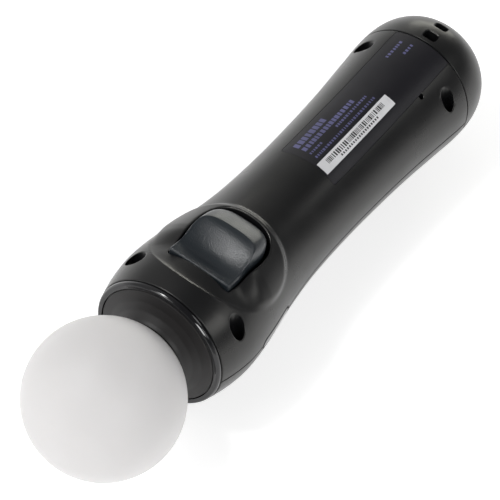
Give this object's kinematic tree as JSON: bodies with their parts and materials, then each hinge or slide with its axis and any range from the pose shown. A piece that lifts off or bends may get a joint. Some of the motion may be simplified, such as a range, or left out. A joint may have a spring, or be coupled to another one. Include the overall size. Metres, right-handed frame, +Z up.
{
  "type": "vr motion controller",
  "caption": "Handheld motion controller: round waisted wand with a translucent tracking sphere on its neck, a hinged rear trigger and front buttons.",
  "frame": {"origin": "on the surface that the wand lies on, under the middle of its length", "axes": "+X along the wand towards the sphere, +Z up through the trigger, +Y across the handle"},
  "size_m": [0.2, 0.0452, 0.0465],
  "materials": {
    "cover": "fine matte texture",
    "gloss_black": "polished",
    "soft_rubber": "soft matt",
    "sphere": "translucent satin",
    "grey_plastic": "moulded",
    "circuit_board": "solder resist",
    "led_body": "satin",
    "clear_lens": "clear",
    "flex": "polyimide film",
    "trigger": "grained satin",
    "steel": "drawn",
    "button": "satin",
    "black_plastic": "moulded",
    "silicone": "matt",
    "red_lens": "clear tinted",
    "tinned_steel": "tinned",
    "ivory_plastic": "moulded",
    "battery_foil": "foil laminate",
    "red_wire": "insulated",
    "tungsten": "sintered",
    "blue_wire": "insulated",
    "screw": "zinc plated",
    "gold": "plated",
    "label": "satin print",
    "silver_foil": "satin foil"
  },
  "bodies": {
    "handle": {"rear_cover": "cover", "front_cover": "cover", "tail_cap": "cover", "neck_ring": "gloss_black", "collar": "soft_rubber", "light_sphere": "sphere", "sphere_retainer": "grey_plastic", "led_board": "circuit_board", "rgb_led": "led_body", "led_lens": "clear_lens", "led_flex": "flex", "trigger_pin": "steel", "trigger_spring": "steel", "trigger_board": "circuit_board", "trigger_sensor": "flex", "side_switches": "black_plastic", "button_membrane": "silicone", "status_lens": "red_lens", "main_board": "circuit_board", "board_chips": "black_plastic", "radio_shield": "tinned_steel", "board_connectors": "ivory_plastic", "battery": "battery_foil", "battery_tray": "grey_plastic", "battery_leads": "red_wire", "vibration_motor": "tinned_steel", "motor_boot": "soft_rubber", "motor_leads": "blue_wire", "case_screws": "screw", "board_screws": "screw", "reset_switch": "black_plastic", "usb_port": "tinned_steel", "ext_connector": "black_plastic", "charge_contacts": "gold", "rear_label": "label", "barcode_sticker": "silver_foil"},
    "trigger": {"trigger": "trigger", "trigger_pad": "soft_rubber"},
    "move_button": {"move_button": "gloss_black"},
    "action_button_a": {"action_button_a": "button"},
    "action_button_b": {"action_button_b": "button"},
    "action_button_c": {"action_button_c": "button"},
    "action_button_d": {"action_button_d": "button"},
    "home_button": {"home_button": "gloss_black"},
    "start_button": {"start_button": "button"},
    "select_button": {"select_button": "button"},
    "reset_plunger": {"reset_plunger": "ivory_plastic"},
    "motor_rotor": {"motor_shaft": "steel", "motor_weight": "tungsten"}
  },
  "joints": [
    {"name": "trigger_pull", "type": "hinge", "parent": "handle", "child": "trigger", "pos_m": [0.041, 0, 0.035], "axis": [0, -1, 0], "range_deg": [0, 11], "stiffness_Nm_per_rad": 0.12, "springref_deg": -8.59},
    {"name": "move_press", "type": "slide", "parent": "handle", "child": "move_button", "axis": [0, 0, 1], "range_m": [0, 0.001], "stiffness_N_per_m": 900, "springref_m": -0.0006},
    {"name": "action_press_a", "type": "slide", "parent": "handle", "child": "action_button_a", "axis": [0, 0, 1], "range_m": [0, 0.0009], "stiffness_N_per_m": 700, "springref_m": -0.0006},
    {"name": "action_press_b", "type": "slide", "parent": "handle", "child": "action_button_b", "axis": [0, 0, 1], "range_m": [0, 0.0009], "stiffness_N_per_m": 700, "springref_m": -0.0006},
    {"name": "action_press_c", "type": "slide", "parent": "handle", "child": "action_button_c", "axis": [0, 0, 1], "range_m": [0, 0.0009], "stiffness_N_per_m": 700, "springref_m": -0.0006},
    {"name": "action_press_d", "type": "slide", "parent": "handle", "child": "action_button_d", "axis": [0, 0, 1], "range_m": [0, 0.0009], "stiffness_N_per_m": 700, "springref_m": -0.0006},
    {"name": "home_press", "type": "slide", "parent": "handle", "child": "home_button", "axis": [0, 0, 1], "range_m": [0, 0.0009], "stiffness_N_per_m": 700, "springref_m": -0.0006},
    {"name": "start_press", "type": "slide", "parent": "handle", "child": "start_button", "axis": [0, -1, 0], "range_m": [0, 0.0008], "stiffness_N_per_m": 700, "springref_m": -0.0006},
    {"name": "select_press", "type": "slide", "parent": "handle", "child": "select_button", "axis": [0, 1, 0], "range_m": [0, 0.0008], "stiffness_N_per_m": 700, "springref_m": -0.0006},
    {"name": "reset_press", "type": "slide", "parent": "handle", "child": "reset_plunger", "axis": [0, 0, -1], "range_m": [0, 0.0003], "stiffness_N_per_m": 900, "springref_m": -0.0006},
    {"name": "motor_spin", "type": "hinge", "parent": "handle", "child": "motor_rotor", "pos_m": [-0.001, 0, 0.0323], "axis": [1, 0, 0], "continuous": true}
  ]
}
